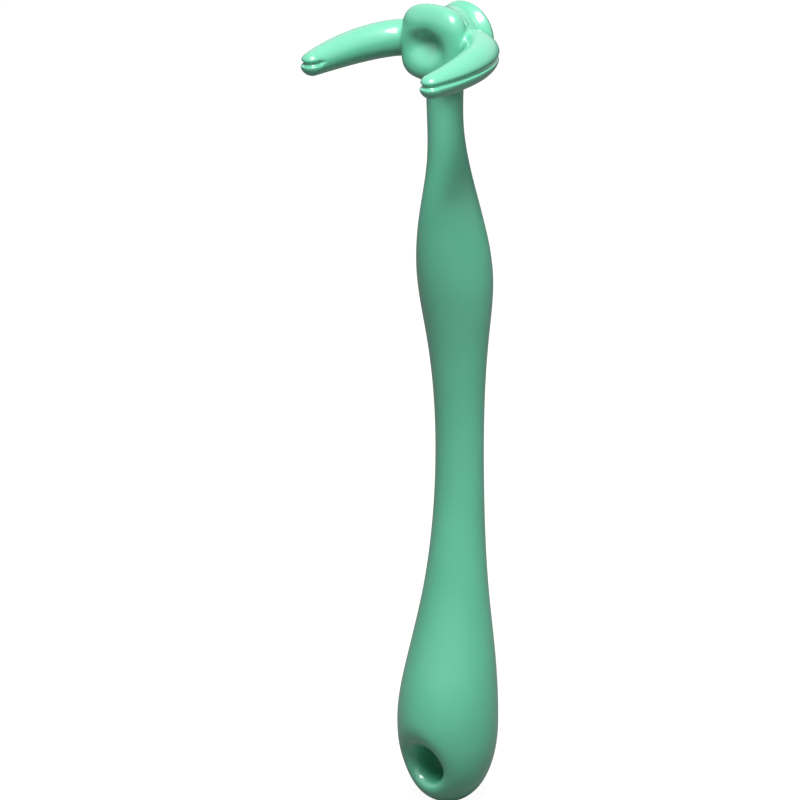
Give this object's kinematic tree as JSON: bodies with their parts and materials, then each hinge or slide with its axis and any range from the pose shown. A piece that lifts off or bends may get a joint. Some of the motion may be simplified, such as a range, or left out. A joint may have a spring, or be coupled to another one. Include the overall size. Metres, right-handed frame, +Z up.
{
  "type": "floss holder",
  "caption": "One-piece moulded floss holder: long round handle with a hanging hole, dished hub, two forward-curving grooved prongs and a rear winding button.",
  "frame": {"origin": "on the handle's centre line, 58 mm above the butt, where the hand holds it", "axes": "+Z up the handle to the head, -Y the side that the fork opens to and +Y the winding button's side, +X across to the right prong"},
  "size_m": [0.0376, 0.0355, 0.1664],
  "materials": {
    "handle": "glossy mint-green plastic",
    "hub": "glossy mint-green plastic",
    "winding_button": "glossy mint-green plastic",
    "left_prong": "glossy mint-green plastic",
    "right_prong": "glossy mint-green plastic"
  },
  "bodies": {
    "root": {"handle": "handle", "hub": "hub", "winding_button": "winding_button", "left_prong": "left_prong", "right_prong": "right_prong"}
  },
  "joints": []
}
